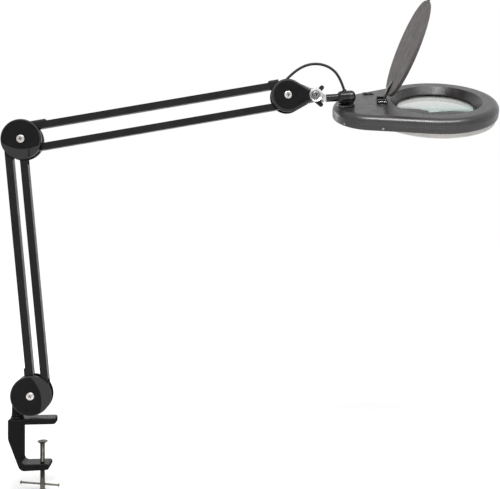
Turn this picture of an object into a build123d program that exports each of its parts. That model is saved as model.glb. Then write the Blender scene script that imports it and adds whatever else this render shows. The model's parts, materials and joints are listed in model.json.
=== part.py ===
"""Clamp-on magnifying lamp: a double parallelogram arm with an illuminated, lidded lens head.

Millimetres. X runs along the arm towards the head, Z is up, and the arm lies in the plane Y = 0.
The origin is on the underside of the clamp's top jaw, on the axis of the clamp screw.
"""
from build123d import *
import os
from math import asin, ceil, cos, degrees, hypot, pi, radians, sin, tan

os.makedirs("parts", exist_ok=True)

# ---------------------------------------------------------------- driving dimensions
# clamp
clamp_depth = 32.0            # along Y
jaw_thickness = 8.2
jaw_reach = 21.0              # from the screw axis to the jaw's free end
column_back = 48.5            # from the screw axis to the back of the column
column_thickness = 19.0
mouth_height = 60.5
lower_arm_height = 8.6
lower_arm_reach = 12.5
heel_radius = 22.0
throat_radius = 7.0
clamp_screw_radius = 3.8
clamp_screw_top = -31.5
clamp_screw_bottom = -106.0
screw_end_radius = 5.2
clamp_pad_radius = 8.2
tommy_bar_radius = 1.5
tommy_bar_length = 59.0
tommy_bar_height = -95.0      # where the bar crosses the screw
tommy_bar_slope = 6.0         # degrees, as it has slid and turned in the screw's eye
tommy_bar_offset = -4.0       # how far it has slid

# swivel post
post_radius = 5.0
post_length = 30.0
post_x = -38.0
bush_wall = 1.5
bush_flange = 1.6

# lower and upper arm
shoulder_x = -15.5
shoulder_z = 43.0
lower_length = 391.7          # between pivots
lower_lean = 5.3              # degrees to the back, from upright
lower_spacing = 21.8          # between the two bars' pivots, level
upper_length = 416.0
upper_rise = 10.6             # degrees above level
upper_pivot_above = 17.9      # top bar's pivot above the elbow screw
upper_pivot_below = 15.6      # bottom bar's pivot below the elbow screw
head_pivot_above = 20.1       # top bar's pivot above the head joint screw
bar_width = 11.0
lower_bar_depth = 16.0
upper_bar_depth = 10.0
bar_wall = 1.1
fork_length = 24.0            # open end of the lower bars, from the pivot
elbow_fork_length = 38.0      # longer fork that lets the upper arm fold past the front bar
strap_thickness = 3.0
strap_depth = 8.0
strap_start = 13.0
strap_end = 42.0
head_strap_end = 30.0

# pivots and joint plates
pivot_radius = 2.5
pivot_clearance = 0.05
seat_clearance = 0.05
plate_thickness = 1.4
plate_gap = 0.25              # running gap each side of a joint plate
plate_edge = 6.5              # metal round each pivot
spacer_radius = 4.0
pin_head_radius = 4.2
pin_head_height = 0.9

# balance springs in the bars
spring_radius = 3.2
spring_wire = 0.8
spring_length = 150.0
spring_pin_radius = 1.2
spring_pin_cover = 0.4         # bar wall left over the pins' ends
spring_start = 60.0

# round joint covers
cover_radius = 30.5
cover_face = 15.5             # from the arm's middle plane to the cover's outer face
cover_wall = 2.0
cover_edge = 2.6
cover_facet_radius = 52.5
cover_facet_offset = 15.4     # from the joint's screw to the facet's edge
cover_facet_slope = 20.0
elbow_facet_angle = -93.0
shoulder_facet_angle = 15.0
shoulder_skirt = (165, 285)    # where the shoulder cover's rim is deeper, degrees
shoulder_skirt_depth = 7.0
joint_screw_head = 6.2
joint_screw_head_height = 2.4
joint_nut_flats = 8.0
joint_nut_height = 4.0

# head joint
head_cover_radius = 26.0
head_cover_face = 13.0
head_cover_bevel = 3.4
head_cover_reach = 39.0       # from the joint's screw to the cover's narrow end
head_cover_tip = 10.0         # half height of the narrow end
knuckle_x = 44.8              # tilt screw from the head joint screw
knuckle_z = 1.7
knuckle_edge = 8.5
head_plate_edge = 5.5         # metal round the bars' pivots in the head joint plates
tilt_washer_radius = 11.0
tilt_washer_thickness = 3.0
tilt_screw_head = 5.6
tilt_nut_height = 4.0
wing_hub_radius = 5.2
wing_thickness = 3.0
wing_tip_radius = 3.5
wing_upper_angle = 50.0       # degrees above the arm's line
wing_upper_reach = 24.8       # from the tilt screw to the wing's tip
wing_lower_angle = -42.0
wing_lower_reach = 20.1

# neck
neck_pitch = 4.5              # degrees the head's axis climbs
neck_reach = 50.2             # from the tilt screw to where the head turns on the neck
neck_drop = 1.0
tube_radius = 6.0
tube_start = -33.0            # along the neck, from the turning point
barrel_radius = 10.0
barrel_start = -14.6
barrel_split = 3.6
barrel_end = 14.6
barrel_gap = 0.3
barrel_round = 7.5
saddle_web = 12.5             # across the web that carries the saddle's cap
roll_axle_radius = 3.0
saddle_radius = 14.5
saddle_thickness = 3.4
turn_post_radius = 6.0

# head
head_roll = 28.5              # degrees the head is rolled towards the front
head_top = -13.9              # top face below the neck's axis
head_reach = 148.5            # turning point to lens centre
head_radius = 100.0
heel_offset = 45.0            # turning point to the centre of the narrow end
narrow_radius = 65.0
shell_split = 12.5            # below the top face
shell_height = 22.5
shell_wall = 2.6
shell_edge = 11.3
shell_bottom_edge = 3.0
rim_radius = 73.3
funnel_radius = 62.5
funnel_depth = 13.5
lens_radius = 65.5
lens_edge = 3.0
lens_crown = 3.4
retainer_width = 5.0
retainer_thickness = 2.0
diffuser_gap = 0.9            # from the lower shell's inner wall
diffuser_margin = 4.0         # from the lens's edge
diffuser_height = 8.0
board_width = 16.0             # a ring midway between the diffuser's walls
board_thickness = 1.6
led_count = 36
led_size = 3.0
led_height = 0.9
case_screw_radius = 1.8

# lid
lid_turn = -12.0              # degrees the lid's hinge is skewed on the head
lid_reach = 82.0              # hinge to lens centre
lid_radius = 77.0
lid_thickness = 2.0
lid_lip = 3.6
lid_tab = 8.5                 # finger tab on the lid's far edge
lid_hinge_height = 5.9        # hinge axis above the head's top face
lid_open = 69.5               # degrees at rest
hinge_pin_radius = 1.2
hinge_width = 20.0
hinge_shift = -10.0           # bracket's middle from the lid's middle, along the pin
hinge_ear = 3.0
hinge_foot = 18.0             # the bracket's foot, across the pin
hinge_knuckle_radius = 2.6

# switch
switch_x = 49.5
switch_length = 15.0
switch_width = 9.0

# cable from the head joint to the neck
cable_radius = 2.1
cable_side = 10.6             # the grommet's distance behind the arm's middle plane
grommet_radius = 3.6
grommet_length = 6.0

# ---------------------------------------------------------------- places worked out from them
shoulder = (shoulder_x, shoulder_z)
lower_run = lower_length * sin(radians(lower_lean))
lower_rise = lower_length * cos(radians(lower_lean))
elbow_back = (shoulder_x - lower_run, shoulder_z + lower_rise)
elbow = (elbow_back[0] + lower_spacing, elbow_back[1])
upper_run = upper_length * cos(radians(upper_rise))
upper_climb = upper_length * sin(radians(upper_rise))
upper_spacing = upper_pivot_above + upper_pivot_below
head_joint = (elbow[0] + upper_run, elbow[1] + upper_pivot_above + upper_climb - head_pivot_above)
head_pivot_below = upper_spacing - head_pivot_above
knuckle = (head_joint[0] + knuckle_x, head_joint[1] + knuckle_z)
neck_x = knuckle[0] + neck_reach
neck_z = knuckle[1] - neck_drop

plate_inner = upper_bar_depth / 2 + plate_gap
plate_outer = plate_inner + plate_thickness
cheek_outer = lower_bar_depth / 2
cover_seat = cheek_outer + plate_gap
bar_half = bar_width / 2
bore_radius = pivot_radius + pivot_clearance
diffuser_outer = head_radius - shell_wall - diffuser_gap
diffuser_inner = lens_radius + diffuser_margin
led_ring_radius = (diffuser_outer + diffuser_inner) / 2

neck_plane = Plane(
    origin=(neck_x, 0, neck_z),
    x_dir=(cos(radians(neck_pitch)), 0, sin(radians(neck_pitch))),
    z_dir=(-sin(radians(neck_pitch)), 0, cos(radians(neck_pitch))),
)
neck_place = neck_plane.location
head_place = neck_place * Rot(head_roll, 0, 0)

parts = {}


# ---------------------------------------------------------------- small helpers
def at(x, z):
    """Place a sketch in the arm's plane."""
    return Pos(x, z, 0)


def slab(sketch, y_low, y_high):
    """Give a sketch drawn in X and Z its thickness along Y."""
    return extrude(Plane.XZ.offset(-y_high) * sketch, amount=y_high - y_low)


def both_sides(sketch, y_inner, y_outer):
    """Two equal slabs, one on each side of the middle plane."""
    return slab(sketch, y_inner, y_outer) + slab(sketch, -y_outer, -y_inner)


def rod(x, z, radius, y_low, y_high):
    """A round bar across the arm, along Y."""
    return slab(at(x, z) * Circle(radius), y_low, y_high)


def hull(*discs):
    """The convex outline round several (x, z, radius) discs."""
    circles = Sketch() + [at(x, z) * Circle(radius) for x, z, radius in discs]
    return make_hull(circles.edges())


def wedge(centre, start, stop, reach):
    """A pie slice from start to stop degrees, wide enough to cover reach."""
    steps = max(2, ceil((stop - start) / 60))
    corners = [centre]
    for step in range(steps + 1):
        angle = radians(start + (stop - start) * step / steps)
        corners.append((centre[0] + 2 * reach * cos(angle), centre[1] + 2 * reach * sin(angle)))
    return make_face(Polyline(*corners, close=True))


def ring(outer, inner, low, high):
    """A flat ring about the local Z axis."""
    body = Pos(0, 0, low) * extrude(Circle(outer), amount=high - low)
    return body - Pos(0, 0, low - 1) * extrude(Circle(inner), amount=high - low + 2)


def post(radius, low, high):
    """A round post about the local Z axis."""
    return Pos(0, 0, low) * extrude(Circle(radius), amount=high - low)


# ---------------------------------------------------------------- clamp
def make_clamp():
    """Cast C frame, its swivel bush, the screw with its swivelling cup, and the tommy bar."""
    half = clamp_depth / 2
    column_front = -column_back + column_thickness
    arm_top = -mouth_height
    arm_bottom = arm_top - lower_arm_height
    outline = Polyline(
        (-column_back, jaw_thickness),
        (jaw_reach, jaw_thickness),
        (jaw_reach, 0),
        (column_front, 0),
        (column_front, arm_top),
        (lower_arm_reach, arm_top),
        (lower_arm_reach, arm_bottom),
        (column_front - 1, arm_bottom - 1.5),
        (-column_back, -heel_radius),
        close=True,
    )
    frame = slab(make_face(outline), -half, half)
    heel = frame.edges().filter_by(Axis.Y).sort_by(lambda e: (e.center().Z, e.center().X))
    frame = fillet(heel[0], 10)
    back = frame.edges().filter_by(Axis.Y).sort_by(lambda e: hypot(e.center().X + column_back,
                                                                   e.center().Z + heel_radius))
    frame = fillet(back[0], heel_radius)
    throat = frame.edges().filter_by(Axis.Y).sort_by(lambda e: hypot(e.center().X - column_front,
                                                                     e.center().Z - arm_top))
    frame = fillet(throat[0], throat_radius)
    inner_top = frame.edges().filter_by(Axis.Y).sort_by(lambda e: hypot(e.center().X - column_front,
                                                                        e.center().Z))
    frame = fillet(inner_top[0], 2)
    lower_tip = frame.edges().filter_by(Axis.Y).filter_by(lambda e: e.center().X > lower_arm_reach - 1
                                                           and e.center().Z < -jaw_thickness)
    frame = fillet(lower_tip, lower_arm_height / 2 - 0.5)
    tips = frame.edges().filter_by(Axis.Z).filter_by(lambda e: e.center().X > jaw_reach - 1)
    frame = fillet(tips, 5)
    top_edges = frame.faces().sort_by(Axis.Z)[-1].edges()
    frame = fillet(top_edges, 2.4)
    frame -= Pos(post_x, 0, jaw_thickness - post_length - 2) * extrude(
        Circle(post_radius + pivot_clearance + bush_wall), amount=post_length + 10)
    frame -= post(clamp_screw_radius + 0.08, arm_bottom - 5, arm_top + 5)
    parts["clamp_frame"] = frame

    bush = post(post_radius + bush_wall + pivot_clearance - seat_clearance, jaw_thickness - post_length,
                jaw_thickness)
    bush += post(post_radius + bush_wall + 3, jaw_thickness, jaw_thickness + bush_flange)
    bush -= post(post_radius + pivot_clearance, jaw_thickness - post_length - 1,
                 jaw_thickness + bush_flange + 1)
    parts["swivel_bush"] = Pos(post_x, 0, 0) * bush

    cup_depth = 2.2
    cup_profile = Polyline(
        (0, clamp_screw_top),
        (clamp_screw_radius + 1, clamp_screw_top - 0.6),
        (clamp_pad_radius, clamp_screw_top + cup_depth),
        (clamp_pad_radius - 1, clamp_screw_top + cup_depth + 0.8),
        (0, clamp_screw_top + cup_depth - 0.5),
        close=True,
    )
    parts["clamp_pad"] = revolve(Plane.XZ * make_face(cup_profile), Axis.Z)

    eye = Pos(0, 0, tommy_bar_height) * Rot(0, 90 + tommy_bar_slope, 0)
    screw = post(clamp_screw_radius, clamp_screw_bottom, clamp_screw_top - 1.4)
    screw += post(screw_end_radius, clamp_screw_bottom, clamp_screw_bottom + 3)
    screw -= eye * post(tommy_bar_radius + pivot_clearance, -20, 20)
    parts["clamp_screw"] = screw

    bar = post(tommy_bar_radius, -tommy_bar_length / 2, tommy_bar_length / 2)
    for end in (-1, 1):
        bar += Pos(0, 0, end * (tommy_bar_length / 2 - 1)) * post(tommy_bar_radius + 0.9, -1.2, 1.2)
    parts["tommy_bar"] = eye * Pos(0, 0, tommy_bar_offset) * bar


# ---------------------------------------------------------------- round covers of the joints
def facet_cone(drop):
    """The large cone whose flank cuts a crescent facet on a cover, drop below the face."""
    slope = tan(radians(cover_facet_slope))
    face = cover_face - drop
    base_radius = cover_facet_radius + face / slope
    cone = Cone(base_radius, cover_facet_radius, face, align=(Align.CENTER, Align.CENTER, Align.MIN))
    return Pos(0, cover_facet_radius - cover_facet_offset, 0) * cone


def make_cover(facet_angle, deep_sectors, slot):
    """A cup seen with its face up: the face at cover_face, the rim down to the cover's seat."""
    cup = post(cover_radius, cover_seat, cover_face)
    cup = fillet(cup.edges().group_by(Axis.Z)[-1], cover_edge)
    cup &= facet_cone(0)
    inside = post(cover_radius - cover_wall, 0, cover_face - cover_wall) & facet_cone(cover_wall)
    cup -= inside
    boss = post(spacer_radius, cover_seat, cover_face - cover_wall)
    cup += boss
    if slot:
        cup -= Pos(13.2, -21.5, cover_face) * Box(1.8, 13, 9)
        cup += Pos(13.2, -21.0, 0) * extrude(Rectangle(4.6, 14), amount=cover_face) & facet_cone(2.0) \
            & post(cover_radius - 0.2, cover_seat, cover_face)
    cup = Rot(0, 0, facet_angle + 90) * cup
    rim = Circle(cover_radius) - Circle(cover_radius - cover_wall)
    for start, stop, depth in deep_sectors:
        skirt = rim & wedge((0, 0), start, stop, cover_radius)
        cup += Pos(0, 0, depth) * extrude(skirt, amount=cover_seat - depth)
    cup -= post(bore_radius, -1, cover_face + 1)
    return cup


def place_front(shape, x, z):
    """Stand a shape made face-up on the arm's front side."""
    return Plane(origin=(x, 0, z), x_dir=(1, 0, 0), z_dir=(0, -1, 0)).location * shape


def mirror_back(shape):
    """The same piece on the arm's back side."""
    return mirror(shape, about=Plane.XZ)


def joint_screw(x, z, face, seat):
    """A cross-head screw through a whole joint, its head on the front cover."""
    body = rod(x, z, pivot_radius, -face - seat, face + joint_nut_height + 1)
    head = rod(x, z, joint_screw_head, -face - joint_screw_head_height, -face - seat)
    head = fillet(head.edges().sort_by(Axis.Y)[0], joint_screw_head_height * 0.6)
    arm = joint_screw_head * 0.9
    cross = Rectangle(arm, 1.3) + Rectangle(1.3, arm)
    head -= slab(at(x, z) * Rot(0, 0, 20) * cross, -face - joint_screw_head_height - 1,
                 -face - joint_screw_head_height + 1.3)
    return body + head


def joint_nut(x, z, face):
    """A hexagon nut on the back cover."""
    flats = RegularPolygon(joint_nut_flats / 2, 6, major_radius=False)
    nut = slab(at(x, z) * flats, face + seat_clearance, face + seat_clearance + joint_nut_height)
    return nut - rod(x, z, pivot_radius + 0.02, face - 1, face + joint_nut_height + 3)


def pivot_pin(x, z, reach, headed):
    """A pivot pin across the arm, with a riveted head at each end where it has room."""
    pin = rod(x, z, pivot_radius, -reach, reach)
    if headed:
        for low, high in ((reach, reach + pin_head_height), (-reach - pin_head_height, -reach)):
            pin += rod(x, z, pin_head_radius, low, high)
    return pin


def spacer_tube(x, z):
    """A tube on a joint's screw that keeps its two plates apart."""
    return rod(x, z, spacer_radius, -plate_inner, plate_inner) - rod(x, z, bore_radius, -20, 20)


# ---------------------------------------------------------------- shoulder
def make_shoulder():
    """The bracket that swivels in the clamp and carries both lower bars."""
    x, z = shoulder
    back = shoulder_x - cover_radius + 1.5
    lug = hull((x, z, plate_edge), (x + lower_spacing, z, plate_edge))
    web = make_face(Polyline(
        (back, jaw_thickness + bush_flange + 0.3),
        (back, z + 4),
        (back + 6, z + 11.3),
        (back + 12.5, z + 11.3),
        (x, z + plate_edge - 0.5),
        (x + 4, z - plate_edge + 0.5),
        (post_x + 9, jaw_thickness + bush_flange + 0.3),
        close=True,
    ))
    bracket = slab(lug + web, -plate_outer, plate_outer)
    bracket += Pos(post_x, 0, 0) * post(post_radius, jaw_thickness - post_length + 1, z - 20)
    bracket += Pos(post_x, 0, 0) * post(plate_outer + 1.6, jaw_thickness + bush_flange + 0.1,
                                        jaw_thickness + bush_flange + 4)
    for pivot in (x, x + lower_spacing):
        bracket -= rod(pivot, z, bore_radius, -20, 20)
    parts["shoulder_bracket"] = bracket

    cover = place_front(make_cover(shoulder_facet_angle, [(*shoulder_skirt, shoulder_skirt_depth)], False), x, z)
    parts["shoulder_cover_front"] = cover
    parts["shoulder_cover_back"] = mirror_back(cover)
    parts["shoulder_screw"] = joint_screw(x, z, cover_face, seat_clearance)
    parts["shoulder_nut"] = joint_nut(x, z, cover_face)
    parts["lower_pivot_pin"] = pivot_pin(x + lower_spacing, z, cheek_outer + plate_gap, True)


# ---------------------------------------------------------------- bars and their springs
def bar_blank(length, depth):
    """A bar with round ends, standing on its lower pivot, bored at both pivots."""
    outline = hull((0, 0, bar_half), (0, length, bar_half))
    bar = slab(outline, -depth / 2, depth / 2)
    for z in (0, length):
        bar -= rod(0, z, bore_radius, -depth, depth)
    return bar


def spring_pin_places(length, from_top):
    """Heights of a spring's two anchor pins along its bar."""
    reach = spring_length + 2 * (spring_radius - spring_wire) + 2 * spring_pin_radius
    low = length - spring_start - reach if from_top else spring_start
    return low, low + reach


def make_spring(length, depth, from_top):
    """A close-wound spring with an eye at each end, hooked over two pins across the bar."""
    low, high = spring_pin_places(length, from_top)
    eye_radius = spring_pin_radius + spring_wire / 2 + 0.3
    start = low + eye_radius
    stop = high - eye_radius
    coil = Pos(0, 0, start) * ring(spring_radius, spring_radius - 2 * spring_wire, 0, stop - start)
    ends = []
    for z, end_z in ((low, start), (high, stop)):
        ends.append(Pos(0, 0, z) * Rot(90, 0, 0) * Torus(eye_radius, spring_wire / 2))
        cap_low = end_z if z == low else end_z - 1.2
        ends.append(post(spring_radius, cap_low, cap_low + 1.2))
    spring = coil + ends
    for z in (low, high):
        spring -= rod(0, z, spring_pin_radius + 0.1, -depth, depth)
    pin_end = depth / 2 - spring_pin_cover
    pins = [rod(0, z, spring_pin_radius, -pin_end, pin_end) for z in (low, high)]
    return Compound([*spring.solids(), *pins])


def lower_bar(top_fork, spring_from_top):
    """A lower bar: a square tube with two cheeks welded on each end, which straddle the joint plates."""
    cavity_half = lower_bar_depth / 2 - bar_wall
    tube_length = lower_length - fork_length - top_fork
    section = Rectangle(bar_width, lower_bar_depth) - Rectangle(bar_width - 2 * bar_wall, 2 * cavity_half)
    tube = Pos(0, 0, fork_length) * extrude(section, amount=tube_length)
    blank = both_sides(hull((0, 0, bar_half), (0, lower_length, bar_half)), cavity_half,
                       lower_bar_depth / 2)
    for z in (0, lower_length):
        blank -= rod(0, z, bore_radius, -lower_bar_depth, lower_bar_depth)
    blank -= Pos(0, 0, fork_length + tube_length / 2) * Box(2 * bar_width, 2 * lower_bar_depth, tube_length)
    cheeks = blank.solids()
    pin_end = lower_bar_depth / 2 - spring_pin_cover + 0.02
    for z in spring_pin_places(lower_length, spring_from_top):
        tube -= rod(0, z, spring_pin_radius + 0.02, -pin_end, pin_end)
    return Compound([tube, *cheeks])


def upper_bar(spring_from_top):
    """An upper bar: a narrower square tube with solid round ends that fit between the plates."""
    bar = bar_blank(upper_length, upper_bar_depth)
    side = bar_half - bar_wall
    end_block = bar_width
    bar -= Pos(0, 0, upper_length / 2) * Box(
        2 * side, upper_bar_depth - 2 * bar_wall, upper_length - 2 * end_block)
    pin_end = upper_bar_depth / 2 - spring_pin_cover + 0.02
    for z in spring_pin_places(upper_length, spring_from_top):
        bar -= rod(0, z, spring_pin_radius + 0.02, -pin_end, pin_end)
    return bar


def strap(low, high, side):
    """A stop strap on one edge of a bar, chamfered at its free end."""
    outline = make_face(Polyline(
        (side * (bar_half + seat_clearance), low),
        (side * (bar_half + seat_clearance), high),
        (side * (bar_half + strap_thickness * 0.4), high),
        (side * (bar_half + strap_thickness), high - 2.0),
        (side * (bar_half + strap_thickness), low),
        close=True,
    ))
    return slab(outline, -strap_depth / 2, strap_depth / 2)


def make_lower_arm():
    """Two forked bars between the shoulder bracket and the elbow plates."""
    lean = Rot(0, -lower_lean, 0)
    back_place = Pos(shoulder_x, 0, shoulder_z) * lean
    front_place = Pos(shoulder_x + lower_spacing, 0, shoulder_z) * lean
    parts["lower_back_bar"] = back_place * lower_bar(fork_length, False)
    parts["lower_back_spring"] = back_place * make_spring(lower_length, lower_bar_depth, False)
    parts["lower_back_strap"] = back_place * strap(strap_start, strap_end, -1)
    parts["lower_front_bar"] = front_place * lower_bar(elbow_fork_length, False)
    parts["lower_front_spring"] = front_place * make_spring(lower_length, lower_bar_depth, False)


def make_upper_arm():
    """Two narrow bars between the elbow plates and the head joint plates."""
    lie = Rot(0, 90 - upper_rise, 0)
    top_place = Pos(elbow[0], 0, elbow[1] + upper_pivot_above) * lie
    bottom_place = Pos(elbow[0], 0, elbow[1] - upper_pivot_below) * lie
    parts["upper_top_bar"] = top_place * upper_bar(False)
    parts["upper_top_spring"] = top_place * make_spring(upper_length, upper_bar_depth, False)
    parts["upper_elbow_strap"] = top_place * strap(strap_start, strap_end - 4, -1)
    parts["upper_head_strap"] = (top_place * Pos(0, 0, upper_length) * Rot(0, 0, 180) * Rot(180, 0, 0)
                                 * strap(strap_start, head_strap_end, 1))
    parts["upper_bottom_bar"] = bottom_place * upper_bar(False)
    parts["upper_bottom_spring"] = bottom_place * make_spring(upper_length, upper_bar_depth, False)


# ---------------------------------------------------------------- elbow
def make_elbow():
    """Two plates inside the forks hold both arms' pivots; cup covers close the joint."""
    x, z = elbow
    top = (x, z + upper_pivot_above)
    bottom = (x, z - upper_pivot_below)
    outline = hull((*elbow_back, plate_edge), (*top, plate_edge), (*bottom, plate_edge))
    plates = both_sides(outline, plate_inner, plate_outer)
    for pivot in (elbow_back, elbow, top, bottom):
        plates -= rod(*pivot, bore_radius, -20, 20)
    parts["elbow_plates"] = plates

    pins = [pivot_pin(*elbow_back, cheek_outer + plate_gap, True)]
    pins += [pivot_pin(*pivot, plate_outer, False) for pivot in (top, bottom)]
    parts["elbow_pivot_pins"] = Compound([*pins, spacer_tube(x, z)])

    sectors = [(-58, 98, plate_inner + 0.3), (106, 158, 0.15)]
    cover = place_front(make_cover(elbow_facet_angle, sectors, True), x, z)
    parts["elbow_cover_front"] = cover
    parts["elbow_cover_back"] = mirror_back(cover)
    parts["elbow_screw"] = joint_screw(x, z, cover_face, seat_clearance)
    parts["elbow_nut"] = joint_nut(x, z, cover_face)


# ---------------------------------------------------------------- head joint
def head_cover():
    """A teardrop cup seen with its face up, bored for the screw and notched round the tilt washer."""
    tip = head_cover_tip * 0.6
    def outline(inset):
        return make_hull((Circle(head_cover_radius - inset)
                          + Pos(head_cover_reach - tip, head_cover_tip - tip) * Circle(tip - inset)
                          + Pos(head_cover_reach - tip, tip - head_cover_tip) * Circle(tip - inset)
                          ).edges())
    seat = plate_outer + plate_gap
    body = Pos(0, 0, seat) * extrude(outline(0), amount=head_cover_face - seat)
    body = chamfer(body.faces().sort_by(Axis.Z)[-1].edges(), head_cover_bevel)
    inside = Pos(0, 0, seat) * extrude(outline(cover_wall), amount=head_cover_face - seat - cover_wall)
    inside = chamfer(inside.faces().sort_by(Axis.Z)[-1].edges(), head_cover_bevel)
    body -= inside
    body += post(spacer_radius, seat, head_cover_face - cover_wall)
    body -= Pos(knuckle_x, knuckle_z, 0) * post(tilt_washer_radius + 0.6, -1, head_cover_face + 1)
    body -= post(bore_radius, -1, head_cover_face + 1)
    return body


def make_head_joint():
    """Plates inside, teardrop covers outside, and the screw that closes the joint."""
    x, z = head_joint
    top = (x, z + head_pivot_above)
    bottom = (x, z - head_pivot_below)
    outline = hull((*top, head_plate_edge), (*bottom, head_plate_edge), (*knuckle, knuckle_edge))
    plates = both_sides(outline, plate_inner, plate_outer)
    for pivot in (top, bottom, head_joint, knuckle):
        plates -= rod(*pivot, bore_radius, -20, 20)
    parts["head_joint_plates"] = plates
    pins = [pivot_pin(*pivot, plate_outer, False) for pivot in (top, bottom)]
    parts["head_joint_pins"] = Compound([*pins, spacer_tube(x, z)])

    cover = place_front(head_cover(), x, z)
    parts["head_joint_cover_front"] = cover
    grommet = grommet_place() * post(grommet_radius, -grommet_length * 0.6, 0)
    parts["head_joint_cover_back"] = mirror_back(cover) - grommet_place() * post(
        grommet_radius + seat_clearance, -grommet_length, 1)
    parts["cable_grommet"] = grommet
    parts["head_joint_screw"] = joint_screw(x, z, head_cover_face, seat_clearance)
    parts["head_joint_nut"] = joint_nut(x, z, head_cover_face)


# ---------------------------------------------------------------- cable
def cable_route():
    """Corner points of the cable's loop from the grommet to the neck."""
    start_x = head_joint[0] - 0.6
    start_z = head_joint[1] + 27.5
    span = neck_x - 3.2 - start_x
    end_z = neck_z + 11.2
    return [
        (start_x, cable_side, start_z),
        (start_x + 0.169 * span, cable_side * 0.8, start_z + 16.7),
        (start_x + 0.450 * span, cable_side * 0.48, start_z + 27.5),
        (start_x + 0.732 * span, cable_side * 0.2, start_z + 23.0),
        (start_x + 0.926 * span, cable_side * 0.05, start_z + 6.2),
        (start_x + span, 0, end_z),
    ]


def grommet_place():
    """The cable's first point, looking along its first run."""
    first, second = (Vector(*point) for point in cable_route()[:2])
    return Plane(origin=first, z_dir=second - first).location


def make_cable():
    """A round cable swept along a smooth loop."""
    points = [Vector(*point) for point in cable_route()]
    radii = []
    for before, corner, after in zip(points, points[1:], points[2:]):
        into = corner - before
        out = after - corner
        half_turn = radians(into.get_angle(out)) / 2
        radii.append(0.45 * min(into.length, out.length) / tan(half_turn))
    path = FilletPolyline(*points, radius=radii)
    section = Plane(origin=points[0], z_dir=points[1] - points[0]) * Circle(cable_radius)
    cable = sweep(section, path=path)
    print("cable bend radii", [round(radius, 1) for radius in radii],
          "volume over section x length", round(cable.volume / (pi * cable_radius ** 2 * path.length), 4))
    parts["head_cable"] = cable


# ---------------------------------------------------------------- knuckle and neck
def make_knuckle():
    """The bracket that tilts between the joint plates, its clamping screw and wing nut."""
    x, z = knuckle
    tube_end = neck_plane.from_local_coords((tube_start, 0, 0))
    half_height = 5.5
    tongue = rod(x, z, knuckle_edge, -upper_bar_depth / 2, upper_bar_depth / 2)
    run = tube_end.X - x
    arm = Polyline(
        (x, z + half_height),
        (x + run, tube_end.Z + half_height),
        (x + run + half_height * 2 * tan(radians(neck_pitch)), tube_end.Z - half_height),
        (x, z - half_height - 1),
        close=True,
    )
    bracket = tongue + slab(make_face(arm), -upper_bar_depth / 2, upper_bar_depth / 2)
    behind = neck_reach + 2 * knuckle_edge
    bracket &= neck_place * Pos(tube_start - behind / 2, 0, 0) * Box(
        behind, 2 * upper_bar_depth, 4 * knuckle_edge)
    stud = neck_place * Pos(tube_start - 2, 0, 0) * Rot(0, 90, 0) * post(roll_axle_radius, 0, 9)
    bracket += stud
    bracket -= rod(x, z, bore_radius, -20, 20)
    parts["knuckle_bracket"] = bracket

    washer_low = plate_outer + 0.1
    dish = Polyline(
        (0, washer_low),
        (tilt_washer_radius - 2.2, washer_low),
        (tilt_washer_radius, washer_low + 1.6),
        (tilt_washer_radius - 0.7, washer_low + tilt_washer_thickness),
        (tilt_screw_head + 1.6, washer_low + 1.6),
        (0, washer_low + 1.6),
        close=True,
    )
    washer = revolve(Plane.XZ * make_face(dish), Axis.Z) - post(bore_radius, 0, 20)
    parts["tilt_washer"] = place_front(washer, x, z)
    head_low = washer_low + 1.65
    nut_top = plate_outer + 0.1 + tilt_nut_height
    wing_top = head_cover_face + 0.4 + wing_thickness
    screw = rod(x, z, pivot_radius, -head_low, wing_top + 1)
    head = Pos(0, 0, head_low) * extrude(Circle(tilt_screw_head), amount=3.0)
    head = fillet(head.edges().group_by(Axis.Z)[-1], 1.8)
    cross = Rectangle(6.4, 1.3) + Rectangle(1.3, 6.4)
    head -= Pos(0, 0, head_low + 1.6) * extrude(Rot(0, 0, 20) * cross, amount=3)
    parts["tilt_screw"] = screw + place_front(head, x, z)
    nut = slab(at(x, z) * RegularPolygon(4.0, 6, major_radius=False), plate_outer + 0.1, nut_top)
    parts["tilt_nut"] = nut - rod(x, z, pivot_radius + 0.02, 0, 30)

    wing = rod(x, z, wing_hub_radius, nut_top + 0.1, wing_top)
    for angle, reach in ((wing_upper_angle, wing_upper_reach), (wing_lower_angle, wing_lower_reach)):
        tip = reach - wing_tip_radius
        blade = hull((x, z, wing_hub_radius - 1),
                     (x + tip * cos(radians(angle)), z + tip * sin(radians(angle)), wing_tip_radius))
        wing += slab(blade, wing_top - wing_thickness, wing_top)
    wing = fillet(wing.faces().sort_by(Axis.Y)[-1].edges(), 0.9)
    parts["wing_screw"] = wing - rod(x, z, bore_radius, 0, 30)


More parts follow.
